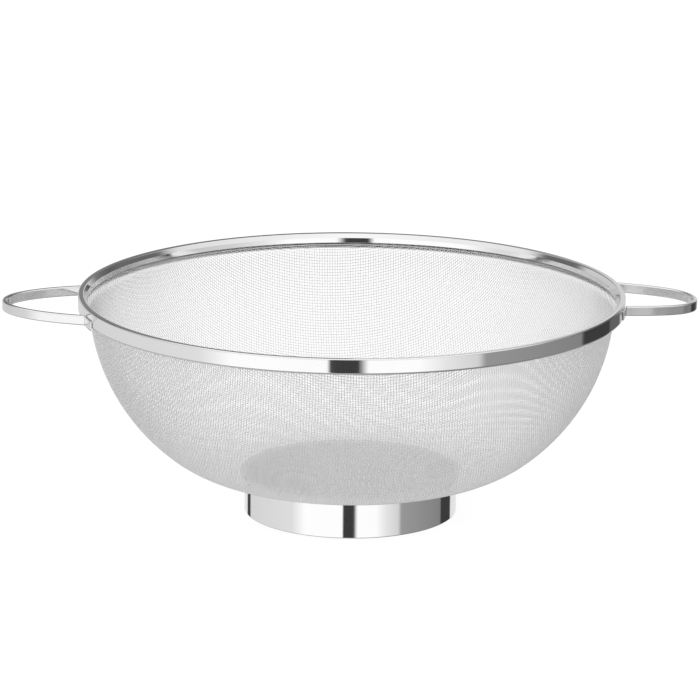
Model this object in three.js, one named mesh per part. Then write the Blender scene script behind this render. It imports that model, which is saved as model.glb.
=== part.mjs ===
// A wire-cloth colander: a pressed mesh bowl in a folded rim, on a foot ring, with two loop handles.
// Millimetres, +Z up. The origin is the centre of the foot's bottom, and the handles lie along X.
import * as THREE from "three";

// Rim: a strip folded over the cloth's edge, with its lower edge curled under a hoop wire
const RIM_RADIUS = 120;
const RIM_TOP = 98.9;
const RIM_WIDTH = 3.5;
const RIM_SHEET = 0.5;
const RIM_OUTER_LEG = 6.6;
const RIM_INNER_LEG = 4.05;
const RIM_OUTER_ROUND = 0.5;
const RIM_NOSE_ROUND = 0.6;
const RIM_TOP_SLOPE = THREE.MathUtils.degToRad(6.5);
const RIM_FACE_LEAN = THREE.MathUtils.degToRad(18);
const RIM_FACE_DROP = 2;
const RIM_LIP_REACH = 2.6;
const RIM_LIP_ROUND = 1.5;
const HOOP_WIRE_DIAMETER = 1;

// Bowl: woven cloth, flat at the bottom, with a tighter arc at the knuckle and a wider one up the wall.
// Its weave is far finer than this: a lattice of bars with openings stands for the wires and their gaps
const CLOTH_THICKNESS = 0.8;
const FLAT_MARGIN = 0.6;
const KNUCKLE_RADIUS = 53.8;
const KNUCKLE_ANGLE = THREE.MathUtils.degToRad(38.6);
const NECK_INSET = 4.85;
const NECK_DROP = 1.3;
const FLARE_EASE = 1.4;
const LATTICE_BAR = 4;
const HUB_RADIUS = 8;
const KNUCKLE_ROWS = 2;
const WALL_ROWS = 3;

// Openings round each row of the lattice, more of them the wider the row
const HUB_OPENINGS = 6;
const FOOT_OPENINGS = 2 * HUB_OPENINGS;
const KNUCKLE_OPENINGS = 3 * HUB_OPENINGS;
const WALL_OPENINGS = 4 * HUB_OPENINGS;

// Foot: a band with a hem at the floor and a flange under the cloth
const FOOT_RADIUS = 47;
const FOOT_HEIGHT = 17.75;
const FOOT_SHEET = 0.8;
const FOOT_EDGE_ROUND = 0.3;
const FOOT_HEM_HEIGHT = 3.5;
const FOOT_FLANGE = 1.6;
const FOOT_FLANGE_ROUND = 0.6;

// Handles: flat strip bent by hand to a loop, with its ends turned along the rim as tabs
const HANDLE_REACH = 32;
const LEFT_HALF_WIDTH = 25.6;
const RIGHT_HALF_WIDTH = 24.3;
const LIMB_LEAN = THREE.MathUtils.degToRad(10);
const LIMB_EASE = 16;
const LEFT_TIP_EASE = 13.5;
const RIGHT_TIP_EASE = 18;
const HANDLE_DROP = 4.6;
const STRIP_HEIGHT = 4.3;
const STRIP_THICKNESS = 2;
const STRIP_ROUND = 0.5;
const TAB_LENGTH = 6;
const TAB_BEND = 1.4;
const HANDLE_TWIST = THREE.MathUtils.degToRad(-1);
const LEFT_DROOP = THREE.MathUtils.degToRad(-1.3);
const RIGHT_DROOP = THREE.MathUtils.degToRad(3.2);

// Clearance between pieces that touch on the real object
const SEAT_GAP = 0.25;

// Fineness of the facets
const TURN_SEGMENTS = 3 * WALL_OPENINGS;
const ROUND_STEPS = 3;
const HOOP_SIDES = 8;
const FLARE_STEPS = 4;
const TAB_STEPS = 6;
const BEND_STEPS = 6;
const LIMB_STEPS = 18;
const SWEEP_STEPS = 96;

const point = (r, z) => new THREE.Vector2(r, z);

// Points of a circular arc, from one angle to another
function arc(centre, radius, from, to, steps) {
  const points = [];
  for (let i = 0; i <= steps; i++) {
    const angle = from + ((to - from) * i) / steps;
    points.push(
      point(
        centre.x + radius * Math.cos(angle),
        centre.y + radius * Math.sin(angle),
      ),
    );
  }
  return points;
}

// A path moved sideways, to its left, by a distance
function offset(path, distance) {
  return path.map((here, i) => {
    const before = path[Math.max(i - 1, 0)];
    const after = path[Math.min(i + 1, path.length - 1)];
    const arriving = here.clone().sub(before).normalize();
    const leaving = after.clone().sub(here).normalize();
    const along = arriving.clone().add(leaving).normalize();
    const edge = leaving.lengthSq() > 0 ? leaving : arriving;
    const reach = distance / along.dot(edge);
    return point(here.x - along.y * reach, here.y + along.x * reach);
  });
}

// A sheet of one thickness as a closed section: a path, and back along its offset
function sheetSection(path, thickness) {
  return [...path, ...offset(path, thickness).reverse()];
}

// A closed section turned about the Z axis
function turned(section) {
  const profile = [...section, section[0].clone()];
  return new THREE.LatheGeometry(profile, TURN_SEGMENTS).rotateX(Math.PI / 2);
}

// The rim's outer skin, from the end of its lip, up the outer leg and over to the inner leg's end
function rimPath() {
  const right = Math.PI / 2;
  const lipZ = RIM_TOP - RIM_OUTER_LEG;
  const innerR = RIM_RADIUS - RIM_WIDTH;
  const lip = point(RIM_RADIUS - RIM_LIP_ROUND, lipZ + RIM_LIP_ROUND);

  // The inner face leans outwards from its crease up to the nose
  const rise = (RIM_FACE_DROP - RIM_NOSE_ROUND) * Math.sin(RIM_FACE_LEAN);
  const noseR = innerR + (RIM_NOSE_ROUND + rise) / Math.cos(RIM_FACE_LEAN);
  const nose = point(noseR, RIM_TOP - RIM_NOSE_ROUND);

  // The top falls outwards on a line that touches both of its rounds
  const lean = right - RIM_TOP_SLOPE;
  const crestR = RIM_RADIUS - RIM_OUTER_ROUND;
  const growth = RIM_OUTER_ROUND - RIM_NOSE_ROUND;
  const fall = ((crestR - noseR) * Math.cos(lean) + growth) / Math.sin(lean);
  const crest = point(crestR, nose.y - fall);
  return [
    point(RIM_RADIUS - RIM_LIP_REACH, lipZ),
    ...arc(lip, RIM_LIP_ROUND, -right, 0, ROUND_STEPS),
    ...arc(crest, RIM_OUTER_ROUND, 0, lean, ROUND_STEPS),
    ...arc(nose, RIM_NOSE_ROUND, lean, 2 * right - RIM_FACE_LEAN, ROUND_STEPS),
    point(innerR, RIM_TOP - RIM_FACE_DROP),
    point(innerR, RIM_TOP - RIM_INNER_LEG),
  ];
}

// The hoop wire's round section, resting in the curled lip
function hoopSection() {
  const radius = HOOP_WIRE_DIAMETER / 2;
  const seat = RIM_SHEET + SEAT_GAP + radius;
  const centre = point(RIM_RADIUS - seat, RIM_TOP - RIM_OUTER_LEG + seat);
  return arc(centre, radius, 0, 2 * Math.PI, HOOP_SIDES).slice(0, -1);
}

// A ring of points round the cloth, with the openings of its row, which may run on to the next ring
const ringAt = (at, openings = 0, runsOn = false) => ({ at, openings, runsOn });

// Rings of a stretch of the cloth that bends on an arc: in each row an opening, and then a bar
function arcRows(centre, radius, from, to, rows, openings) {
  const rowTurn = (to - from) / rows;
  const openTurn = rowTurn - LATTICE_BAR / radius;
  const rings = [];
  for (let row = 0; row < rows; row++) {
    const start = from + row * rowTurn;
    const [low, high] = arc(centre, radius, start, start + openTurn, 1);
    rings.push(ringAt(low, openings, true), ringAt(high, openings));
  }
  return rings;
}

// Rings of the cloth's outer skin, from the axis over the knuckle and up the wall into the rim
function bowlRings() {
  const bottom = FOOT_HEIGHT + SEAT_GAP;
  const quarter = Math.PI / 2;

  // Two rows of openings on the flat, and a closed ring over the foot
  const footInner = FOOT_RADIUS - 2 * FOOT_SHEET;
  const rowLength = (footInner - HUB_RADIUS - LATTICE_BAR) / 2;
  const flat = [
    ringAt(point(0, bottom)),
    ringAt(point(HUB_RADIUS, bottom), HUB_OPENINGS, true),
    ringAt(point(HUB_RADIUS + rowLength, bottom), HUB_OPENINGS),
    ringAt(point(footInner - rowLength, bottom), FOOT_OPENINGS, true),
    ringAt(point(footInner, bottom), FOOT_OPENINGS),
  ];

  // The knuckle's arc starts level, past the foot's flange
  const flatR = FOOT_RADIUS + FOOT_FLANGE + FLAT_MARGIN;
  const knuckleCentre = point(flatR, bottom + KNUCKLE_RADIUS);
  const knuckleEnd = KNUCKLE_ANGLE - quarter;

  // The wall's arc leaves the knuckle smoothly and ends at the neck below the rim
  const start = arc(knuckleCentre, KNUCKLE_RADIUS, -quarter, knuckleEnd, 1).at(-1);
  const neck = point(
    RIM_RADIUS - NECK_INSET,
    RIM_TOP - RIM_OUTER_LEG - NECK_DROP,
  );
  const chord = neck.clone().sub(start);
  const swing = Math.atan2(chord.y, chord.x) - KNUCKLE_ANGLE;
  const wallRadius = chord.length() / (2 * Math.sin(swing));
  const neckAngle = KNUCKLE_ANGLE + 2 * swing;
  const wallCentre = point(
    start.x - wallRadius * Math.sin(KNUCKLE_ANGLE),
    start.y + wallRadius * Math.cos(KNUCKLE_ANGLE),
  );

  // The neck flares out under the inner leg, and the edge stands up inside the channel
  const innerFace = RIM_RADIUS - RIM_WIDTH + RIM_SHEET;
  const edgeR = innerFace + SEAT_GAP + CLOTH_THICKNESS;
  const flareTop = point(edgeR, RIM_TOP - RIM_INNER_LEG - SEAT_GAP);
  const ease = point(Math.cos(neckAngle), Math.sin(neckAngle)).multiplyScalar(FLARE_EASE);
  const flare = new THREE.CubicBezierCurve(
    neck,
    neck.clone().add(ease),
    flareTop.clone().sub(point(0, FLARE_EASE)),
    flareTop,
  );
  return [
    ...flat,
    ...arcRows(
      knuckleCentre,
      KNUCKLE_RADIUS,
      -quarter,
      knuckleEnd,
      KNUCKLE_ROWS,
      KNUCKLE_OPENINGS,
    ),
    ...arcRows(
      wallCentre,
      wallRadius,
      knuckleEnd,
      neckAngle - quarter,
      WALL_ROWS,
      WALL_OPENINGS,
    ),
    ...flare.getPoints(FLARE_STEPS).map((at) => ringAt(at)),
    ringAt(point(edgeR, RIM_TOP - RIM_FACE_DROP - SEAT_GAP)),
  ];
}

// Where a ring's points lie round the axis: evenly, or with a bar and then an opening in each column
function angleOn(ring, spot) {
  if (ring.openings === 0) {
    return (2 * Math.PI * spot) / TURN_SEGMENTS;
  }
  const facets = TURN_SEGMENTS / ring.openings;
  const columnTurn = (2 * Math.PI) / ring.openings;
  const barTurn = LATTICE_BAR / ring.at.x;
  const start = Math.floor(spot / facets) * columnTurn - barTurn / 2;
  const step = spot % facets;
  const opened = ((step - 1) * (columnTurn - barTurn)) / (facets - 1);
  return step === 0 ? start : start + barTurn + opened;
}

// The cloth as one closed lattice: two skins of cells, and the walls round each opening between them
function latticeGeometry(rings, thickness) {
  const outer = rings.map((ring) => ring.at);
  const skins = [outer, offset(outer, thickness)];
  const last = rings.length - 1;
  const positions = skins.flatMap((skin) => [0, 0, skin[0].y]);
  for (const skin of skins) {
    for (let ring = 1; ring <= last; ring++) {
      for (let spot = 0; spot < TURN_SEGMENTS; spot++) {
        const angle = angleOn(rings[ring], spot);
        const { x, y } = skin[ring];
        positions.push(x * Math.cos(angle), x * Math.sin(angle), y);
      }
    }
  }

  // The axis has one point on each skin, and every other ring has a full turn of them
  const indexOf = (skin, [ring, spot]) =>
    ring === 0
      ? skin
      : 2 + (skin * last + ring - 1) * TURN_SEGMENTS + (spot % TURN_SEGMENTS);
  const isOpen = (ring, spot) =>
    ring === last ||
    (rings[ring]?.runsOn && spot % (TURN_SEGMENTS / rings[ring].openings) > 0);

  const triangles = [];
  function addFace(a, b, c, d) {
    for (const corners of [
      [a, b, c],
      [a, c, d],
    ]) {
      if (new Set(corners).size === 3) {
        triangles.push(...corners);
      }
    }
  }
  for (let ring = 0; ring < last; ring++) {
    for (let spot = 0; spot < TURN_SEGMENTS; spot++) {
      if (isOpen(ring, spot)) {
        continue;
      }
      const corners = [
        [ring, spot],
        [ring, spot + 1],
        [ring + 1, spot + 1],
        [ring + 1, spot],
      ];
      const neighbours = [
        [ring - 1, spot],
        [ring, spot + 1],
        [ring + 1, spot],
        [ring, spot + TURN_SEGMENTS - 1],
      ];
      addFace(...corners.map((corner) => indexOf(0, corner)));
      addFace(...corners.map((corner) => indexOf(1, corner)).reverse());
      corners.forEach((from, side) => {
        const to = corners[(side + 1) % corners.length];
        if (isOpen(...neighbours[side])) {
          addFace(indexOf(0, to), indexOf(0, from), indexOf(1, from), indexOf(1, to));
        }
      });
    }
  }
  const geometry = new THREE.BufferGeometry();
  geometry.setAttribute("position", new THREE.Float32BufferAttribute(positions, 3));
  geometry.setIndex(triangles);
  geometry.computeVertexNormals();
  return geometry;
}

// The foot's section: hem at the floor, band, and a flange turned outwards at the top
function footSection() {
  const quarter = Math.PI / 2;
  const bandR = FOOT_RADIUS - FOOT_SHEET;
  const hemR = bandR - FOOT_SHEET;
  const innerRound = FOOT_FLANGE_ROUND + FOOT_SHEET;
  const turn = point(FOOT_RADIUS + FOOT_FLANGE_ROUND, FOOT_HEIGHT - innerRound);
  const flangeR = FOOT_RADIUS + FOOT_FLANGE;
  return [
    point(hemR + FOOT_EDGE_ROUND, 0),
    point(FOOT_RADIUS - FOOT_EDGE_ROUND, 0),
    point(FOOT_RADIUS, FOOT_EDGE_ROUND),
    ...arc(turn, FOOT_FLANGE_ROUND, 2 * quarter, quarter, ROUND_STEPS),
    point(flangeR, FOOT_HEIGHT - FOOT_SHEET),
    point(flangeR, FOOT_HEIGHT),
    ...arc(turn, innerRound, quarter, 2 * quarter, ROUND_STEPS),
    point(bandR, FOOT_HEM_HEIGHT),
    point(hemR, FOOT_HEM_HEIGHT),
    point(hemR, FOOT_EDGE_ROUND),
  ];
}

// Half of a handle's plan, from the end of its tab to the tip of its loop
function handleHalf(halfWidth, tipEase) {
  const tabR = RIM_RADIUS + SEAT_GAP + STRIP_THICKNESS / 2;
  const cornerAngle = Math.asin(halfWidth / tabR);
  const tabStart = cornerAngle + TAB_BEND / tabR;
  const tabEnd = tabStart + TAB_LENGTH / tabR;
  const tab = arc(point(0, 0), tabR, tabEnd, tabStart, TAB_STEPS);

  // The limb leaves its corner at a lean and rounds the tip squarely
  const corner = point(tabR * Math.cos(cornerAngle), halfWidth);
  const tip = point(RIM_RADIUS + HANDLE_REACH, 0);
  const ease = point(Math.cos(LIMB_LEAN), -Math.sin(LIMB_LEAN)).multiplyScalar(LIMB_EASE);
  const limb = new THREE.CubicBezierCurve(
    corner,
    corner.clone().add(ease),
    tip.clone().add(point(0, tipEase)),
    tip,
  );
  const start = TAB_BEND / limb.getLength();
  const loop = [];
  for (let i = 0; i <= LIMB_STEPS; i++) {
    loop.push(limb.getPointAt(THREE.MathUtils.lerp(start, 1, i / LIMB_STEPS)));
  }
  const bend = new THREE.QuadraticBezierCurve(tab.at(-1), corner, loop[0]);
  return [...tab, ...bend.getPoints(BEND_STEPS).slice(1, -1), ...loop];
}

// A handle's centre line from tab to tab, measured outwards from the rim's face
function handleCurve(halfWidth, tipEase) {
  const half = handleHalf(halfWidth, tipEase);
  const otherHalf = half
    .slice(0, -1)
    .reverse()
    .map((p) => point(p.x, -p.y));
  const line = [...half, ...otherHalf].map(
    (p) => new THREE.Vector3(p.x - RIM_RADIUS, p.y, 0),
  );
  return new THREE.CatmullRomCurve3(line);
}

// The strip's section, with its height across the sweep's first axis and its corners cut round
function stripShape() {
  const h = STRIP_HEIGHT / 2;
  const t = STRIP_THICKNESS / 2;
  const c = STRIP_ROUND;
  return new THREE.Shape([
    point(-h, -t + c),
    point(-h + c, -t),
    point(h - c, -t),
    point(h, -t + c),
    point(h, t - c),
    point(h - c, t),
    point(-h + c, t),
    point(-h, t - c),
  ]);
}

function handleGeometry(curve) {
  return new THREE.ExtrudeGeometry(stripShape(), {
    steps: SWEEP_STEPS,
    extrudePath: curve,
  });
}

const steel = (colour, roughness) =>
  new THREE.MeshStandardMaterial({ color: colour, metalness: 1, roughness });

function piece(name, geometry, material) {
  const mesh = new THREE.Mesh(geometry, material);
  mesh.name = name;
  return mesh;
}

// A handle on one side of the rim, hanging a little from its tabs as its welds left it
function handle(name, curve, heading, droop) {
  const mesh = piece(name, handleGeometry(curve), polished);
  mesh.position.set(RIM_RADIUS, 0, RIM_TOP - HANDLE_DROP);
  mesh.rotation.set(HANDLE_TWIST, droop, 0);
  const side = new THREE.Group();
  side.rotation.z = heading;
  side.add(mesh);
  return side;
}

const polished = steel(0xd4d6d8, 0.12);
const woven = steel(0xc9cbcc, 0.32);

const colander = new THREE.Group();
colander.add(
  piece("mesh_bowl", latticeGeometry(bowlRings(), CLOTH_THICKNESS), woven),
);
colander.add(
  piece("rim_channel", turned(sheetSection(rimPath(), RIM_SHEET)), polished),
);
colander.add(piece("rim_hoop_wire", turned(hoopSection()), polished));
colander.add(piece("foot_ring", turned(footSection()), polished));
const leftCurve = handleCurve(LEFT_HALF_WIDTH, LEFT_TIP_EASE);
const rightCurve = handleCurve(RIGHT_HALF_WIDTH, RIGHT_TIP_EASE);
colander.add(handle("left_handle", leftCurve, Math.PI, LEFT_DROOP));
colander.add(handle("right_handle", rightCurve, 0, RIGHT_DROOP));

export default colander;
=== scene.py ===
"""The colander's looks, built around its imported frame.

A bowl of woven wire, a folded rim, a foot band and two loop handles.
"""

import math

import bpy
import numpy as np
from mathutils import Matrix, Vector


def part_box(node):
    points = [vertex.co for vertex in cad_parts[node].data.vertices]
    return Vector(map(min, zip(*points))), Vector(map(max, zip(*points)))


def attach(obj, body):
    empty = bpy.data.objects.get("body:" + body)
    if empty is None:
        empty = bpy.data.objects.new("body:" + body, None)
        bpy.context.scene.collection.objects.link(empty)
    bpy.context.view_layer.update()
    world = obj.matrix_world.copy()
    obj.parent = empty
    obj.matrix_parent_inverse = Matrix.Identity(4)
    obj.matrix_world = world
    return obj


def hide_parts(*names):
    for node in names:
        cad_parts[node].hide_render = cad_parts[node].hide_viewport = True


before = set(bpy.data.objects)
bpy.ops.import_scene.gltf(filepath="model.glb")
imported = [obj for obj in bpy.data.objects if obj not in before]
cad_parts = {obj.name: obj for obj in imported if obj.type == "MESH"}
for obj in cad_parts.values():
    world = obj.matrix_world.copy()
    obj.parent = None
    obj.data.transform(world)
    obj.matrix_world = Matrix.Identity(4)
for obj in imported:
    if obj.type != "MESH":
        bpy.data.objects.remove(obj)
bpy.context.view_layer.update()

# Sizes in metres. What the frame can give is read from it,
# and the rest follows the part's own driving dimensions
MM = 0.001
rim_low, rim_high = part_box("rim_channel")
foot_low, foot_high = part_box("foot_ring")
bowl_low, bowl_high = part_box("mesh_bowl")

RIM_RADIUS = rim_high.x
RIM_TOP = 98.85 * MM
RIM_LIP_LEVEL = rim_low.z - 0.3 * MM
RIM_WIDTH = 3.5 * MM
RIM_SHEET = 0.5 * MM
RIM_INNER_LEG = 4.05 * MM
RIM_OUTER_ROUND = 0.5 * MM
RIM_NOSE_ROUND = 0.45 * MM
RIM_TOP_SLOPE = math.radians(3)
RIM_TILT = math.radians(0.25)
RIM_FACE_LEAN = math.radians(28)
RIM_FACE_DROP = 2.0 * MM
RIM_LEG_LEAN = math.radians(8.5)
RIM_LIP_REACH = 2.6 * MM
RIM_LIP_ROUND = 1.0 * MM
RIM_STEPS = 360
RIM_CREASE = math.radians(14)
HOOP_WIRE = 1.0 * MM
HOOP_STEPS = 240

CLOTH_BOTTOM = bowl_low.z
CLOTH_EDGE_RADIUS = bowl_high.x
CLOTH_EDGE_TOP = bowl_high.z
FLAT_MARGIN = 0.6 * MM
KNUCKLE_RADIUS = 53.8 * MM
KNUCKLE_ANGLE = math.radians(38.6)
NECK_INSET = 4.85 * MM
NECK_DROP = 1.3 * MM
FLARE_EASE = 1.4 * MM

FOOT_TOP = foot_high.z
FOOT_FLANGE_RADIUS = foot_high.x
FOOT_FLANGE = 1.6 * MM
FOOT_FLANGE_ROUND = 0.6 * MM
FOOT_SHEET = 0.8 * MM
FOOT_HEM = 3.5 * MM
FOOT_EDGE_ROUND = 0.35 * MM
FOOT_STEPS = 300

HANDLE_REACH = 32 * MM
LEFT_HALF_WIDTH = 25.6 * MM
RIGHT_HALF_WIDTH = 24.3 * MM
LIMB_LEAN = math.radians(10)
LIMB_EASE = 16 * MM
LEFT_TIP_EASE = 13.5 * MM
RIGHT_TIP_EASE = 18 * MM
HANDLE_LEVEL = RIM_TOP - 4.6 * MM
HANDLE_TWIST = math.radians(-1)
LEFT_DROOP = math.radians(-1.3)
RIGHT_DROOP = math.radians(3.2)
LEFT_ROLL = 0.0
RIGHT_ROLL = math.radians(1.5)
STRIP_HEIGHT = 4.3 * MM
STRIP_THICKNESS = 2 * MM
STRIP_ROUND = 0.5 * MM
TAB_LENGTH = 9 * MM
TAB_THICKNESS = 0.6 * MM
TAB_SEAT = 0.04 * MM
TAB_FILLET = 0.25 * MM
TAB_BEND = 1.4 * MM
TAB_STEPS = 12
BEND_STEPS = 14
LIMB_STEPS = 600
LOOP_RINGS = 61
END_RINGS = 4
SEAT_GAP = 0.25 * MM

# The wire cloth: a square weave that stretches a little along the wall where the bowl was pressed
WIRE = 0.25 * MM
PITCH = 1.2 * MM
WALL_STRETCH = 0.11
WIRE_SIDES = 6
BANDS = 5
BOWL_SAMPLES = 6000
SETTLING_ROUNDS = 12
MAP_MARGIN = 0.04

# The photograph's view: where the camera aims, how far it stands off and how it is turned
VIEW_TURN = math.radians(-4.6)
VIEW_ELEVATION = math.radians(14.466)
VIEW_ROLL = math.radians(0.449)
VIEW_DISTANCE = 1.8
VIEW_AIM = (-0.6225 * MM, 0.0, 72.427 * MM)
VIEW_LENS = 210.13

FLOOR_HALF_WIDTH = 6.0
FLOOR_DROP = 0.05 * MM

RIGHT_ANGLE = math.pi / 2
CREASE = math.radians(40)
FLAT_END = 0.08 * MM


# Outlines in a plane, as arrays of points
def arc(centre, radius, start, stop, steps):
    """Points along a circular arc, both ends included."""
    turn = np.linspace(start, stop, steps + 1)
    return np.stack([centre[0] + radius * np.cos(turn), centre[1] + radius * np.sin(turn)], 1)


def bezier(guides, steps):
    """Points along the curve that its guides pull, both ends included."""
    share = np.linspace(0, 1, steps + 1)[:, None]
    last = len(guides) - 1
    pulls = [math.comb(last, k) * share**k * (1 - share) ** (last - k) for k in range(last + 1)]
    return sum(pull * np.asarray(guide) for pull, guide in zip(pulls, guides))


def run_length(path):
    """How far along the path each of its points lies."""
    return np.r_[0, np.cumsum(np.linalg.norm(np.diff(path, axis=0), axis=1))]


def beside(path, distance):
    """The path moved sideways to its left by a distance, with its corners kept."""
    steps = np.diff(path, axis=0)
    steps /= np.linalg.norm(steps, axis=1)[:, None]
    arriving = np.vstack([steps[:1], steps])
    leaving = np.vstack([steps, steps[-1:]])
    along = arriving + leaving
    along /= np.linalg.norm(along, axis=1)[:, None]
    reach = distance / (along * leaving).sum(1)
    return path + np.stack([-along[:, 1], along[:, 0]], 1) * reach[:, None]


def without_repeats(path):
    """The path with points that lie on the one before taken out."""
    apart = np.linalg.norm(np.diff(path, axis=0), axis=1) > 1e-8
    return path[np.r_[True, apart]]


def held_flat(section):
    """A closed section with a point near each end of its long sides, so that they shade flat."""
    points = []
    for here, there in zip(section, np.roll(section, -1, 0)):
        points.append(here)
        side = there - here
        length = np.linalg.norm(side)
        if length > 4 * FLAT_END:
            points += [here + side * (FLAT_END / length), there - side * (FLAT_END / length)]
    return np.array(points)


def sheet_section(path, thickness):
    """A sheet's closed section: its outer skin and, back again, its inner one."""
    path = without_repeats(path)
    return held_flat(np.vstack([path, beside(path, thickness)[::-1]]))


# Meshes from arrays of points
def new_piece(name, points, quads, places=None):
    """A smooth mesh object of four-sided faces, with a bake map where its corners' places are given."""
    mesh = bpy.data.meshes.new(name)
    mesh.vertices.add(len(points))
    mesh.vertices.foreach_set("co", np.ascontiguousarray(points, np.float32).ravel())
    mesh.loops.add(quads.size)
    mesh.loops.foreach_set("vertex_index", np.ascontiguousarray(quads, np.int32).ravel())
    mesh.polygons.add(len(quads))
    mesh.polygons.foreach_set("loop_start", np.arange(0, quads.size, 4, dtype=np.int32))
    mesh.polygons.foreach_set("use_smooth", np.ones(len(quads), bool))
    if places is not None:
        layer = mesh.uv_layers.new(name="OFBake")
        layer.uv.foreach_set("vector", np.ascontiguousarray(places, np.float32).ravel())
    mesh.update(calc_edges=True)
    piece = bpy.data.objects.new(name, mesh)
    bpy.context.scene.collection.objects.link(piece)
    return piece


def ring_quads(rings, around, closed):
    """Corner numbers of the faces between successive rings, the last joined to the first if closed."""
    count = rings if closed else rings - 1
    ring = np.arange(count)[:, None]
    spot = np.arange(around)[None, :]
    after = (ring + 1) % rings
    beyond = (spot + 1) % around
    corners = [ring * around + spot, after * around + spot, after * around + beyond, ring * around + beyond]
    return np.stack(np.broadcast_arrays(*corners), -1).reshape(-1, 4)


def turned(name, section, steps):
    """A closed section turned about the upright axis."""
    spin = np.arange(steps) * (2 * math.pi / steps)
    points = np.empty((steps, len(section), 3))
    points[..., 0] = np.cos(spin)[:, None] * section[:, 0]
    points[..., 1] = np.sin(spin)[:, None] * section[:, 0]
    points[..., 2] = section[:, 1]
    quads = ring_quads(steps, len(section), True)
    around = np.roll(section, -1, 0)
    facing = (section[:, 0] * around[:, 1] - around[:, 0] * section[:, 1]).sum()
    return new_piece(name, points.reshape(-1, 3), quads if facing > 0 else quads[:, ::-1])


def finished(piece, node, material, crease=None):
    """Puts a piece in place of its node, with its finish, and keeps edges sharper than the crease."""
    piece.data.materials.append(material)
    if crease:
        piece.data.set_sharp_from_angle(angle=crease)
    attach(piece, "root")
    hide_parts(node)
    return piece


# The rim, its hoop wire and the foot
def rim_section():
    """The folded rim: a lip curled inwards, the outer leg, the top, the inner edge and the inner leg."""
    inner = RIM_RADIUS - RIM_WIDTH
    leg = RIM_INNER_LEG - RIM_FACE_DROP
    lip = (RIM_RADIUS - RIM_LIP_ROUND, RIM_LIP_LEVEL + RIM_LIP_ROUND)
    rise = (RIM_FACE_DROP - RIM_NOSE_ROUND) * math.sin(RIM_FACE_LEAN)
    nose = (inner + (RIM_NOSE_ROUND + rise) / math.cos(RIM_FACE_LEAN), RIM_TOP - RIM_NOSE_ROUND)
    lean = RIGHT_ANGLE + RIM_TOP_SLOPE
    crest_radius = RIM_RADIUS - RIM_OUTER_ROUND
    drop = (crest_radius - nose[0]) * math.cos(lean) - RIM_NOSE_ROUND + RIM_OUTER_ROUND
    crest = (crest_radius, nose[1] - drop / math.sin(lean))
    path = np.vstack([
        [(RIM_RADIUS - RIM_LIP_REACH, RIM_LIP_LEVEL)],
        arc(lip, RIM_LIP_ROUND, -RIGHT_ANGLE, 0, 10),
        arc(crest, RIM_OUTER_ROUND, 0, lean, 8),
        arc(nose, RIM_NOSE_ROUND, lean, 2 * RIGHT_ANGLE - RIM_FACE_LEAN, 12),
        [(inner, RIM_TOP - RIM_FACE_DROP)],
        [(inner - leg * math.tan(RIM_LEG_LEAN), RIM_TOP - RIM_INNER_LEG)],
    ])
    return sheet_section(path, RIM_SHEET)


def hoop_section():
    """The round wire that lies in the rim's curled lip."""
    seat = RIM_SHEET + SEAT_GAP + HOOP_WIRE / 2
    centre = (RIM_RADIUS - seat, RIM_LIP_LEVEL + seat)
    return arc(centre, HOOP_WIRE / 2, 0, 4 * RIGHT_ANGLE, 16)[:-1]


def foot_section():
    """The foot band, hemmed at its lower edge, with a narrow flange at its top."""
    radius = FOOT_FLANGE_RADIUS - FOOT_FLANGE
    band = radius - FOOT_SHEET
    hem = band - FOOT_SHEET
    inner_round = FOOT_FLANGE_ROUND + FOOT_SHEET
    turn = (radius + FOOT_FLANGE_ROUND, FOOT_TOP - inner_round)
    edge = FOOT_EDGE_ROUND
    return held_flat(np.vstack([
        arc((hem + edge, edge), edge, -2 * RIGHT_ANGLE, -RIGHT_ANGLE, 5),
        arc((radius - edge, edge), edge, -RIGHT_ANGLE, 0, 5),
        arc(turn, FOOT_FLANGE_ROUND, 2 * RIGHT_ANGLE, RIGHT_ANGLE, 8),
        [(FOOT_FLANGE_RADIUS, FOOT_TOP - FOOT_SHEET)],
        [(FOOT_FLANGE_RADIUS, FOOT_TOP)],
        arc(turn, inner_round, RIGHT_ANGLE, 2 * RIGHT_ANGLE, 8),
        [(band, FOOT_HEM)],
        [(hem, FOOT_HEM)],
    ]))


# The handles
def handle_half(half_width, tip_ease):
    """Both sides of half of a handle's plan, from the end of its flattened tab to the tip of its loop."""
    seat = RIM_RADIUS + TAB_SEAT
    tip = np.array([RIM_RADIUS + HANDLE_REACH, 0])
    lean = np.array([math.cos(LIMB_LEAN), -math.sin(LIMB_LEAN)])
    corner = np.array([math.sqrt(seat**2 - half_width**2), half_width])
    start = corner - lean * STRIP_THICKNESS
    limb = bezier([start, corner + lean * LIMB_EASE, tip + (0, tip_ease), tip], LIMB_STEPS)
    outside = (seat + TAB_THICKNESS, STRIP_THICKNESS / 2, TAB_FILLET)
    inside = (seat, -STRIP_THICKNESS / 2, TAB_BEND)
    sides = []
    for radius, offset, clear in (outside, inside):
        side = beside(limb, offset)
        side = side[np.hypot(*side.T) > radius]
        meet = side[0]
        along = run_length(side)
        stops = np.linspace(clear, along[-1], LOOP_RINGS)
        loop = np.stack([np.interp(stops, along, side[:, axis]) for axis in (0, 1)], 1)
        bend_start = math.atan2(meet[1], meet[0]) + clear / radius
        sides.append((radius, meet, bend_start, loop))
    tab_start = max(side[2] for side in sides)
    whole = []
    for radius, meet, _, loop in sides:
        tab = arc((0, 0), radius, tab_start + TAB_LENGTH / radius, tab_start, TAB_STEPS)
        bend = bezier([tab[-1], meet, loop[0]], BEND_STEPS)[1:-1]
        whole.append(np.vstack([tab, bend, loop]))
    return np.stack(whole)


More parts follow.
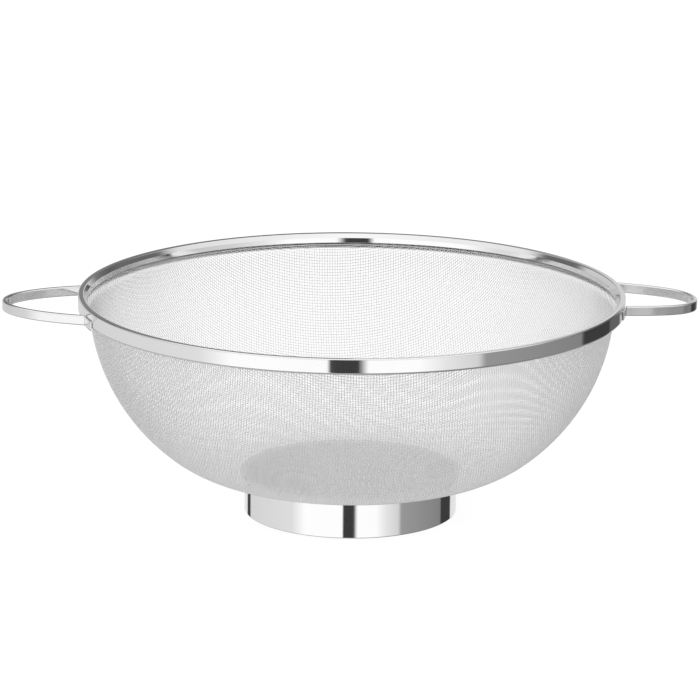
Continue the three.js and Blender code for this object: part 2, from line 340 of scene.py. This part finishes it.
def strip_section():
    """The strip's section, across its thickness and up its height, with round corners."""
    half_t = STRIP_THICKNESS / 2 - STRIP_ROUND
    half_h = STRIP_HEIGHT / 2 - STRIP_ROUND
    corners = [(half_t, half_h), (-half_t, half_h), (-half_t, -half_h), (half_t, -half_h)]
    return held_flat(np.vstack([
        arc(corner, STRIP_ROUND, turn * RIGHT_ANGLE, (turn + 1) * RIGHT_ANGLE, 5)
        for turn, corner in enumerate(corners)
    ]))


def handle_mesh(name, half_width, tip_ease, heading, droop, roll):
    """A strip swept along the handle's plan, its tab ends rounded off, then hung on its side of the rim."""
    half = handle_half(half_width, tip_ease)
    outer, inner = np.concatenate([half, (half * (1, -1))[:, -2::-1]], 1)
    plan = (outer + inner) / 2
    thickness = np.linalg.norm(inner - outer, axis=1)[:, None]
    right = (inner - outer) / thickness
    ahead = np.stack([-right[:, 1], right[:, 0]], 1)
    turn = np.linspace(RIGHT_ANGLE, 0, END_RINGS + 1)[:-1, None]
    push = STRIP_ROUND * np.sin(turn)
    inset = STRIP_ROUND * (1 - np.cos(turn))
    inset = np.vstack([inset, np.zeros((len(plan), 1)), inset[::-1]])
    plan = np.vstack([plan[0] - push * ahead[0], plan, plan[-1] + push[::-1] * ahead[-1]])
    right = np.pad(right, ((END_RINGS, END_RINGS), (0, 0)), "edge")
    thickness = np.pad(thickness, ((END_RINGS, END_RINGS), (0, 0)), "edge")

    section = strip_section()
    wide = (1 - 2 * inset / STRIP_THICKNESS) * thickness / STRIP_THICKNESS * section[:, 0]
    tall = (1 - 2 * inset / STRIP_HEIGHT) * section[:, 1]
    inward = wide * math.cos(roll) + tall * math.sin(roll)
    up = tall * math.cos(roll) - wide * math.sin(roll)
    out = plan[:, :1] - RIM_RADIUS + right[:, :1] * inward
    side = plan[:, 1:] + right[:, 1:] * inward
    points = np.stack([out, side, up], -1).reshape(-1, 3)

    around = len(section)
    fan = np.arange(around // 2 - 1)
    cap = np.stack([fan, fan + 1, around - 2 - fan, around - 1 - fan], 1)
    last = (len(plan) - 1) * around
    quads = np.vstack([ring_quads(len(plan), around, False), cap[:, ::-1], cap + last])
    place = (
        Matrix.Rotation(heading, 4, "Z")
        @ Matrix.Translation((RIM_RADIUS, 0, HANDLE_LEVEL))
        @ Matrix.Rotation(HANDLE_TWIST, 4, "X")
        @ Matrix.Rotation(droop, 4, "Y")
    )
    place = np.array(place)
    return new_piece(name, points @ place[:3, :3].T + place[:3, 3], quads)


# The wire cloth
def cloth_middle():
    """Radius and height along the cloth's middle, from the axis over the knuckle up into the rim."""
    flat = FOOT_FLANGE_RADIUS + FLAT_MARGIN
    turn = (flat, CLOTH_BOTTOM + KNUCKLE_RADIUS)
    knuckle = arc(turn, KNUCKLE_RADIUS, -RIGHT_ANGLE, KNUCKLE_ANGLE - RIGHT_ANGLE, 60)
    neck = np.array([RIM_RADIUS - NECK_INSET, rim_low.z - NECK_DROP])
    chord = neck - knuckle[-1]
    swing = math.atan2(chord[1], chord[0]) - KNUCKLE_ANGLE
    wall_radius = math.hypot(*chord) / (2 * math.sin(swing))
    neck_angle = KNUCKLE_ANGLE + 2 * swing
    centre = knuckle[-1] + wall_radius * np.array([-math.sin(KNUCKLE_ANGLE), math.cos(KNUCKLE_ANGLE)])
    wall = arc(centre, wall_radius, KNUCKLE_ANGLE - RIGHT_ANGLE, neck_angle - RIGHT_ANGLE, 120)
    top = np.array([CLOTH_EDGE_RADIUS, RIM_TOP - RIM_INNER_LEG - SEAT_GAP])
    ease = FLARE_EASE * np.array([math.cos(neck_angle), math.sin(neck_angle)])
    flare = bezier([neck, neck + ease, top - (0, FLARE_EASE), top], 24)
    above = np.array([[CLOTH_EDGE_RADIUS, CLOTH_EDGE_TOP + 20 * PITCH]])
    skin = np.vstack([[(0, CLOTH_BOTTOM)], knuckle, wall, flare, above])
    return beside(without_repeats(skin), WIRE)


class Bowl:
    """The cloth's middle surface, read by the angle at which a point on the axis at the rim sees it."""

    def __init__(self):
        path = cloth_middle()
        along = run_length(path)
        self.along = np.linspace(0, along[-1], BOWL_SAMPLES)
        self.radius = np.interp(self.along, along, path[:, 0])
        self.height = np.interp(self.along, along, path[:, 1])
        self.angle = np.arctan2(self.radius, RIM_TOP - self.height)
        self.reach = np.hypot(self.radius, RIM_TOP - self.height)
        self.drift = np.gradient(self.reach, self.angle)
        bend = FOOT_FLANGE_RADIUS + FLAT_MARGIN
        rise = np.clip((self.along - bend) / (KNUCKLE_RADIUS * KNUCKLE_ANGLE), 0, 1)
        self.stretch = WALL_STRETCH * rise**2 * (3 - 2 * rise)

    def away(self, spots):
        """How far spots lie outside the surface, and the direction in which that grows."""
        flat = np.maximum(np.hypot(spots[..., 0], spots[..., 1]), 1e-9)
        angle = np.arctan2(flat, RIM_TOP - spots[..., 2])
        reach = np.hypot(flat, RIM_TOP - spots[..., 2])
        outward = np.concatenate([spots[..., :2] / flat[..., None], np.zeros(flat.shape + (1,))], -1)
        up = np.array([0, 0, 1.0])
        sine = np.sin(angle)[..., None]
        cosine = np.cos(angle)[..., None]
        lean = (np.interp(angle, self.angle, self.drift) / reach)[..., None]
        slope = sine * outward - cosine * up - lean * (cosine * outward + sine * up)
        return reach - np.interp(angle, self.angle, self.reach), slope

    def stretch_at(self, spots, way):
        """How much a step along the way is stretched: most where it runs up the wall."""
        flat = np.maximum(np.hypot(spots[..., 0], spots[..., 1]), 1e-9)
        angle = np.arctan2(flat, RIM_TOP - spots[..., 2])
        slope = self.away(spots)[1]
        slope /= np.linalg.norm(slope, axis=-1)[..., None]
        round_ = np.stack([-spots[..., 1] / flat, spots[..., 0] / flat, np.zeros(flat.shape)], -1)
        uphill = np.cross(round_, slope)
        share = (way * uphill).sum(-1) ** 2 / (way**2).sum(-1)
        return 1 + np.interp(angle, self.angle, self.stretch) * share


def crossings(bowl):
    """A quarter of the weave: where the wires cross, grown outwards from the two that cross on the axis."""
    cut = np.r_[0, np.cumsum(np.diff(bowl.along) / (1 + bowl.stretch[1:]))]
    count = int(cut[-1] / PITCH)
    base = np.interp(np.arange(count + 1) * PITCH, cut, bowl.along)
    radius = np.interp(base, bowl.along, bowl.radius)
    height = np.interp(base, bowl.along, bowl.height)
    spots = np.full((count + 1, count + 1, 3), np.nan)
    spots[:, 0] = np.stack([radius, 0 * radius, height], 1)
    spots[0, :] = np.stack([0 * radius, radius, height], 1)
    stop = CLOTH_EDGE_TOP + 4 * PITCH
    for total in range(2, 2 * count + 1):
        i = np.arange(max(1, total - count), min(count, total - 1) + 1)
        j = total - i
        before, beside_, back = spots[i - 1, j], spots[i, j - 1], spots[i - 1, j - 1]
        with np.errstate(invalid="ignore"):
            live = (before[:, 2] < stop) & (beside_[:, 2] < stop)
        if not live.any():
            continue
        before, beside_, back = before[live], beside_[live], back[live]
        weft = PITCH * bowl.stretch_at(before, beside_ - back)
        warp = PITCH * bowl.stretch_at(beside_, before - back)
        here = before + beside_ - back
        for _ in range(SETTLING_ROUNDS):
            gap, slope = bowl.away(here)
            misses = np.stack([
                ((here - before) ** 2).sum(1) - weft**2,
                ((here - beside_) ** 2).sum(1) - warp**2,
                gap,
            ], 1)
            slopes = np.stack([2 * (here - before), 2 * (here - beside_), slope], 1)
            here = here - np.linalg.solve(slopes, misses[..., None])[..., 0]
        spots[i[live], j[live]] = here
    return spots


def wire_paths(bowl, spots, warp):
    """Each wire of one family, over one crossing and under the next, as points and the way out there."""
    quarter = spots if warp else spots.transpose(1, 0, 2)
    count = len(quarter) - 1
    for number in range(-count, count + 1):
        row = quarter[abs(number)]
        row = row[~np.isnan(row[:, 2])]
        past = np.argmax(row[:, 2] > CLOTH_EDGE_TOP)
        if row[0, 2] > CLOTH_EDGE_TOP or past == 0:
            continue
        row = row[: past + 1].copy()
        share = (CLOTH_EDGE_TOP - row[-2, 2]) / (row[-1, 2] - row[-2, 2])
        side = (number < 0, False) if warp else (False, number < 0)
        row[:, 0] *= -1 if side[0] else 1
        row[:, 1] *= -1 if side[1] else 1
        mirror = (1, -1, 1) if warp else (-1, 1, 1)
        line = np.vstack([row[:0:-1] * mirror, row])
        steps = np.arange(len(line)) - (len(row) - 1)
        _, out = bowl.away(line)
        out /= np.linalg.norm(out, axis=1)[:, None]
        lift = np.where((steps + number) % 2 == 0, 0.5, -0.5) * WIRE * (1 if warp else -1)
        line = line + out * lift[:, None]
        line[0] = line[1] + (line[0] - line[1]) * share
        line[-1] = line[-2] + (line[-1] - line[-2]) * share
        yield line, out


def wire_tube(line, out):
    """Rings of points round one wire, and the corners of its faces with both ends closed."""
    ahead = np.gradient(line, axis=0)
    ahead /= np.linalg.norm(ahead, axis=1)[:, None]
    across = np.cross(ahead, out)
    across /= np.linalg.norm(across, axis=1)[:, None]
    upright = np.cross(across, ahead)
    turn = np.arange(WIRE_SIDES) * (2 * math.pi / WIRE_SIDES)
    ring = across[:, None] * np.cos(turn)[None, :, None] + upright[:, None] * np.sin(turn)[None, :, None]
    points = (line[:, None] + ring * (WIRE / 2)).reshape(-1, 3)
    quads = ring_quads(len(line), WIRE_SIDES, False)
    caps = np.array([[0, 1, 2, 3], [0, 3, 4, 5]])
    last = (len(line) - 1) * WIRE_SIDES
    return points, np.vstack([quads[:, ::-1], caps[:, ::-1], caps + last])


def wire_places(rings, strip, strips):
    """Bake map of one wire: a level strip, its length along, its girth up and its ends at the start."""
    along = np.arange(rings - 1)[:, None] / (rings - 1)
    step = 1 / (rings - 1)
    up = np.arange(WIRE_SIDES)[None, :] / WIRE_SIDES
    rise = 1 / WIRE_SIDES
    corner = [(0, rise), (step, rise), (step, 0), (0, 0)]
    sides = [np.stack(np.broadcast_arrays(along + u, up + v), -1) for u, v in corner]
    sides = np.stack(sides, 2).reshape(-1, 4, 2)
    ends = np.tile([[(0, 0), (step, 0), (step, 1), (0, 1)]], (4, 1, 1))
    places = np.vstack([sides, ends])
    places[..., 1] = (strip + MAP_MARGIN + (1 - 2 * MAP_MARGIN) * places[..., 1]) / strips
    return places


def wire_pieces(name, bowl, spots, warp, material):
    """One family of wires as a few pieces, each a band of neighbouring wires."""
    wires = list(wire_paths(bowl, spots, warp))
    lengths = np.cumsum([len(line) for line, _ in wires])
    band = np.minimum((lengths - 1) * BANDS // lengths[-1], BANDS - 1)
    for number in range(BANDS):
        members = [wire for wire, at in zip(wires, band) if at == number]
        points, quads, places, start = [], [], [], 0
        for strip, (line, out) in enumerate(members):
            tube, faces = wire_tube(line, out)
            points.append(tube)
            quads.append(faces + start)
            places.append(wire_places(len(line), strip, len(members)))
            start += len(tube)
        piece = new_piece(f"{name}_{number + 1}", np.vstack(points), np.vstack(quads), np.vstack(places))
        finished(piece, "mesh_bowl", material)


# Finishes
def node_group(name, inputs, outputs):
    """An empty shader group with named inputs and outputs, and its two ends."""
    group = bpy.data.node_groups.new(name, "ShaderNodeTree")
    for label, kind, value in inputs:
        socket = group.interface.new_socket(label, in_out="INPUT", socket_type=kind)
        socket.default_value = value
    for label, kind in outputs:
        group.interface.new_socket(label, in_out="OUTPUT", socket_type=kind)
    return group, group.nodes.new("NodeGroupInput"), group.nodes.new("NodeGroupOutput")


def noise(tree, vector, scale, detail):
    """Soft random grey over a place."""
    node = tree.nodes.new("ShaderNodeTexNoise")
    node.inputs["Scale"].default_value = scale
    node.inputs["Detail"].default_value = detail
    tree.links.new(vector, node.inputs["Vector"])
    return node.outputs["Fac"]


def outcome(tree, first, second, operation="ADD"):
    """What a sum, product or other operation makes of two values."""
    node = tree.nodes.new("ShaderNodeMath")
    node.operation = operation
    for socket, value in zip(node.inputs, (first, second)):
        if isinstance(value, (int, float)):
            socket.default_value = value
        else:
            tree.links.new(value, socket)
    return node.outputs[0]


def build_polish_group():
    """Polished steel: faint cloudy tone, slight changes of gloss and fine marks of the polishing wheel."""
    group, start, end = node_group(
        "polish",
        [
            ("Tone", "NodeSocketColor", (0.8, 0.8, 0.8, 1)),
            ("Cloud", "NodeSocketFloat", 0.04),
            ("Gloss", "NodeSocketFloat", 0.1),
            ("Gloss Change", "NodeSocketFloat", 0.04),
            ("Marks", "NodeSocketVector", (1, 1, 1)),
        ],
        [("Tone", "NodeSocketColor"), ("Gloss", "NodeSocketFloat"), ("Height", "NodeSocketFloat")],
    )
    place = group.nodes.new("ShaderNodeTexCoord").outputs["Object"]
    cloud = noise(group, place, 60, 3)
    stretch = group.nodes.new("ShaderNodeVectorMath")
    stretch.operation = "MULTIPLY"
    group.links.new(place, stretch.inputs[0])
    group.links.new(start.outputs["Marks"], stretch.inputs[1])
    marks = noise(group, stretch.outputs[0], 1, 2)
    dim = outcome(group, 1.0, outcome(group, cloud, start.outputs["Cloud"], "MULTIPLY"), "SUBTRACT")
    tint = group.nodes.new("ShaderNodeMix")
    tint.data_type = "RGBA"
    tint.blend_type = "MULTIPLY"
    tint.inputs["Factor"].default_value = 1
    group.links.new(start.outputs["Tone"], tint.inputs["A"])
    group.links.new(dim, tint.inputs["B"])
    wander = outcome(group, outcome(group, cloud, marks), start.outputs["Gloss Change"], "MULTIPLY")
    gloss = outcome(group, start.outputs["Gloss"], wander)
    group.links.new(tint.outputs["Result"], end.inputs["Tone"])
    group.links.new(gloss, end.inputs["Gloss"])
    group.links.new(marks, end.inputs["Height"])
    return group


def build_inside_group():
    """How much of a turned piece's surface faces its axis: 0 outside, 1 inside."""
    group, _, end = node_group("inside", [], [("Share", "NodeSocketFloat")])
    place = group.nodes.new("ShaderNodeNewGeometry")
    flat = group.nodes.new("ShaderNodeVectorMath")
    flat.operation = "MULTIPLY"
    flat.inputs[1].default_value = (1, 1, 0)
    group.links.new(place.outputs["Position"], flat.inputs[0])
    facing = group.nodes.new("ShaderNodeVectorMath")
    facing.operation = "DOT_PRODUCT"
    group.links.new(flat.outputs[0], facing.inputs[0])
    group.links.new(place.outputs["True Normal"], facing.inputs[1])
    group.links.new(outcome(group, facing.outputs["Value"], 0, "LESS_THAN"), end.inputs["Share"])
    return group


def dulled_inside(material, inside, gloss):
    """Makes a finish duller where it faces the axis."""
    tree = material.node_tree
    shader = tree.nodes["Principled BSDF"]
    polished = shader.inputs["Roughness"].links[0].from_socket
    share = tree.nodes.new("ShaderNodeGroup")
    share.node_tree = inside
    duller = outcome(tree, share.outputs["Share"], gloss, "MULTIPLY")
    tree.links.new(outcome(tree, polished, duller), shader.inputs["Roughness"])
    return material


def steel(name, polish, tone, gloss, change, cloud, marks, bump, metal=1):
    """A bright steel that wears the polish group with its own values."""
    material = bpy.data.materials.new(name)
    material.use_nodes = True
    tree = material.node_tree
    shader = tree.nodes["Principled BSDF"]
    shader.inputs["Metallic"].default_value = metal
    worn = tree.nodes.new("ShaderNodeGroup")
    worn.node_tree = polish
    worn.inputs["Tone"].default_value = (*tone, 1)
    worn.inputs["Cloud"].default_value = cloud
    worn.inputs["Gloss"].default_value = gloss
    worn.inputs["Gloss Change"].default_value = change
    worn.inputs["Marks"].default_value = marks
    tree.links.new(worn.outputs["Tone"], shader.inputs["Base Color"])
    tree.links.new(worn.outputs["Gloss"], shader.inputs["Roughness"])
    raised = tree.nodes.new("ShaderNodeBump")
    raised.inputs["Strength"].default_value = bump
    raised.inputs["Distance"].default_value = 0.02 * MM
    tree.links.new(worn.outputs["Height"], raised.inputs["Height"])
    tree.links.new(raised.outputs["Normal"], shader.inputs["Normal"])
    return material


# The studio
def compass_ramp(tree, turn, stops):
    """Grey levels by compass direction, from straight behind by the left, front and right to behind."""
    ramp = tree.nodes.new("ShaderNodeValToRGB")
    elements = ramp.color_ramp.elements
    for index, (angle, level) in enumerate(stops):
        spot = (angle + 180) / 360
        element = elements[index] if index < 2 else elements.new(spot)
        element.position = spot
        element.color = (level, level, level, 1)
    tree.links.new(turn, ramp.inputs["Fac"])
    return ramp.outputs["Color"]


def blended(tree, low, high, value, start, stop):
    """One colour turning into another as a value rises. Either colour may be a grey level."""
    share = tree.nodes.new("ShaderNodeMapRange")
    share.interpolation_type = "SMOOTHSTEP"
    share.inputs["From Min"].default_value = start
    share.inputs["From Max"].default_value = stop
    tree.links.new(value, share.inputs["Value"])
    mix = tree.nodes.new("ShaderNodeMix")
    mix.data_type = "RGBA"
    tree.links.new(share.outputs["Result"], mix.inputs["Factor"])
    for label, colour in (("A", low), ("B", high)):
        if isinstance(colour, (int, float)):
            mix.inputs[label].default_value = (colour, colour, colour, 1)
        else:
            tree.links.new(colour, mix.inputs[label])
    return mix.outputs["Result"]


def sine(degrees):
    """The height of a direction that many degrees above the horizon."""
    return math.sin(math.radians(degrees))


def build_world():
    """Plain white light all round, a white background, and a studio for the steel to mirror."""
    world = bpy.data.worlds.new("studio")
    bpy.context.scene.world = world
    world.use_nodes = True
    tree = world.node_tree
    background = tree.nodes["Background"]
    facing = tree.nodes.new("ShaderNodeMapping")
    facing.inputs["Rotation"].default_value = (0, 0, -VIEW_TURN)
    tree.links.new(tree.nodes.new("ShaderNodeTexCoord").outputs["Generated"], facing.inputs["Vector"])
    axes = tree.nodes.new("ShaderNodeSeparateXYZ")
    tree.links.new(facing.outputs["Vector"], axes.inputs["Vector"])
    height = axes.outputs["Z"]
    towards = outcome(tree, axes.outputs["Y"], -1, "MULTIPLY")
    compass = outcome(tree, axes.outputs["X"], towards, "ARCTAN2")
    turn = outcome(tree, outcome(tree, compass, 1 / (2 * math.pi), "MULTIPLY"), 0.5)

    # Just below the horizon: white panels either side of a dark gap in front, and greyer walls to the right
    white, grey, dark, dim = 1.15, 0.74, 0.05, 0.15

    def front_panels(left, right):
        gap = [(left - 1, white), (left, dark), (right, dark), (right + 3.8, white)]
        return [(-66, 0.84), (-50, white), *gap, (28, white), (40, 0.9), (54, 0.74)]

    low_ring = compass_ramp(tree, turn, [
        (-180, 0.85), (-152, 0.85), (-149, dark), (-141, dark), (-138, grey), *front_panels(-7.4, 4),
        (57, 0.36), (115.5, 0.25), (117, dark), (139, dark), (141.5, 0.85), (180, 0.85),
    ])
    # A little higher: no dark behind to the left, and more of it to the right
    rim_ring = compass_ramp(tree, turn, [
        (-180, 0.7), (-138, grey), *front_panels(-8.8, 3.2),
        (57, 0.34), (111.5, 0.25), (113, dark), (136.5, dark), (139, 0.13), (152, 0.13),
        (156, 0.7), (180, 0.7),
    ])
    # Higher again: a grey wall all along the front, with a lighter door in it and a dark end to the right
    wall_ring = compass_ramp(tree, turn, [
        (-180, 0.7), (-100, 0.5), (-60, 0.4), (33, 0.36), (34, 0.56), (42, 0.56), (43, 0.34), (85, 0.34),
        (87, dark), (140, dark), (146, 0.25), (158, 0.3), (164, 0.7), (180, 0.7),
    ])
    # The horizon: white either side of the gap in front, and a light room behind, dark in its right corner
    horizon = compass_ramp(tree, turn, [
        (-180, 0.24), (-176.5, 0.24), (-172, 0.6), (-92, 0.75), *front_panels(-8, 3), (84, 0.6), (92, 0.45),
        (116, 0.2), (134, 0.12), (146, 0.2), (158, 0.7), (180, 0.7),
    ])
    # Above it the whole room behind is dim, higher up only straight behind, and the ceiling is bright
    upper = compass_ramp(tree, turn, [
        (-180, dim), (-100, dim), (-84, 0.8), (-50, white), (28, white), (84, 0.6), (100, dim), (180, dim),
    ])
    high = compass_ramp(tree, turn, [
        (-180, dim), (-136, dim), (-126, 0.8), (-66, 0.95), (0, 1.1), (66, 0.9), (126, 0.75),
        (136, dim), (180, dim),
    ])
    below = compass_ramp(tree, turn, [
        (-180, 0.44), (-90, 0.57), (-40, 0.43), (20, 0.4), (60, 0.22), (180, 0.34),
    ])
    around = blended(tree, below, low_ring, height, sine(-23), sine(-19))
    around = blended(tree, around, rim_ring, height, sine(-15.7), sine(-15.3))
    around = blended(tree, around, wall_ring, height, sine(-13.3), sine(-12.7))
    around = blended(tree, around, horizon, height, sine(-8), sine(-5))
    around = blended(tree, around, upper, height, sine(14), sine(19))
    around = blended(tree, around, high, height, sine(25), sine(30))
    around = blended(tree, around, 1.05, height, sine(44), sine(54))

    rays = tree.nodes.new("ShaderNodeLightPath")
    mirrored = tree.nodes.new("ShaderNodeMix")
    mirrored.data_type = "RGBA"
    mirrored.inputs["A"].default_value = (1, 1, 1, 1)
    tree.links.new(rays.outputs["Is Glossy Ray"], mirrored.inputs["Factor"])
    tree.links.new(around, mirrored.inputs["B"])
    tree.links.new(mirrored.outputs["Result"], background.inputs["Color"])


def build_floor():
    """A wide pale floor that stays white to the camera and keeps a soft shadow, part real and part painted:
    its glow is dimmed inside the foot band as a painted shadow.
    """
    corners = np.array([(-1, -1, 0), (1, -1, 0), (1, 1, 0), (-1, 1, 0)])
    points = corners * FLOOR_HALF_WIDTH - (0, 0, FLOOR_DROP)
    floor = new_piece("floor", points, np.array([[0, 1, 2, 3]]))
    material = bpy.data.materials.new("pale_floor_with_painted_shadow")
    material.use_nodes = True
    tree = material.node_tree
    tree.nodes.remove(tree.nodes["Principled BSDF"])
    paint = tree.nodes.new("ShaderNodeBsdfDiffuse")
    paint.inputs["Color"].default_value = (0.15, 0.15, 0.15, 1)
    glow = tree.nodes.new("ShaderNodeEmission")
    place = tree.nodes.new("ShaderNodeVectorMath")
    place.operation = "LENGTH"
    tree.links.new(tree.nodes.new("ShaderNodeTexCoord").outputs["Object"], place.inputs[0])
    # Painted shadow under the foot: the floor's glow drops from 0.9 to 0.34 inside the foot band's inner
    # radius
    painted_shadow_radius = FOOT_FLANGE_RADIUS - FOOT_FLANGE - FOOT_SHEET
    white = blended(tree, 0.34, 0.9, place.outputs["Value"], painted_shadow_radius - FOOT_SHEET, painted_shadow_radius)
    tree.links.new(white, glow.inputs["Color"])
    both = tree.nodes.new("ShaderNodeAddShader")
    tree.links.new(paint.outputs[0], both.inputs[0])
    tree.links.new(glow.outputs[0], both.inputs[1])
    tree.links.new(both.outputs[0], tree.nodes["Material Output"].inputs["Surface"])
    floor.data.materials.append(material)
    floor.visible_glossy = False


def build_camera():
    """The photograph's view, turned from the handles' line to where the photograph was taken from."""
    data = bpy.data.cameras.new("view")
    data.sensor_fit = "HORIZONTAL"
    data.sensor_width = 36
    data.lens = VIEW_LENS
    data.clip_end = 50
    camera = bpy.data.objects.new("view", data)
    bpy.context.scene.collection.objects.link(camera)
    turn = Matrix.Rotation(VIEW_TURN, 4, "Z")
    aim = turn @ Vector(VIEW_AIM)
    stand = turn @ Vector((0, -math.cos(VIEW_ELEVATION), math.sin(VIEW_ELEVATION)))
    look = (-stand).to_track_quat("-Z", "Y").to_matrix().to_4x4()
    place = Matrix.Translation(aim + stand * VIEW_DISTANCE)
    camera.matrix_world = place @ look @ Matrix.Rotation(VIEW_ROLL, 4, "Z")
    bpy.context.scene.camera = camera


def build_colander():
    """All pieces with their finishes, the rim and its wire tilted a little as one."""
    polish = build_polish_group()
    sheet = steel("polished_sheet", polish, (0.87, 0.87, 0.87), 0.03, 0.02, 0.03, (25, 25, 300), 0.1)
    band = steel("polished_band", polish, (0.87, 0.87, 0.87), 0.03, 0.02, 0.03, (25, 25, 300), 0.1)
    dulled_inside(band, build_inside_group(), 0.5)
    strip = steel("polished_strip", polish, (0.86, 0.86, 0.86), 0.09, 0.02, 0.03, (60, 60, 300), 0.1)
    drawn = steel("drawn_wire", polish, (0.93, 0.93, 0.93), 0.25, 0.05, 0.06, (900, 900, 900), 0.02, 0.8)
    rim = turned("rim", rim_section(), RIM_STEPS)
    hoop = turned("hoop_wire", hoop_section(), HOOP_STEPS)
    lift = Matrix.Translation((0, 0, RIM_TOP))
    for ring in (rim, hoop):
        ring.data.transform(lift @ Matrix.Rotation(-RIM_TILT, 4, "X") @ lift.inverted())
    finished(rim, "rim_channel", sheet, RIM_CREASE)
    finished(hoop, "rim_hoop_wire", drawn)
    foot = turned("foot", foot_section(), FOOT_STEPS)
    finished(foot, "foot_ring", band, CREASE)
    left = handle_mesh("left_loop", LEFT_HALF_WIDTH, LEFT_TIP_EASE, math.pi, LEFT_DROOP, LEFT_ROLL)
    right = handle_mesh("right_loop", RIGHT_HALF_WIDTH, RIGHT_TIP_EASE, 0, RIGHT_DROOP, RIGHT_ROLL)
    finished(left, "left_handle", strip, CREASE)
    finished(right, "right_handle", strip, CREASE)
    bowl = Bowl()
    spots = crossings(bowl)
    wire_pieces("warp_wires", bowl, spots, True, drawn)
    wire_pieces("weft_wires", bowl, spots, False, drawn)


bpy.context.scene.view_settings.view_transform = "Standard"
build_camera()
build_world()
build_floor()
build_colander()
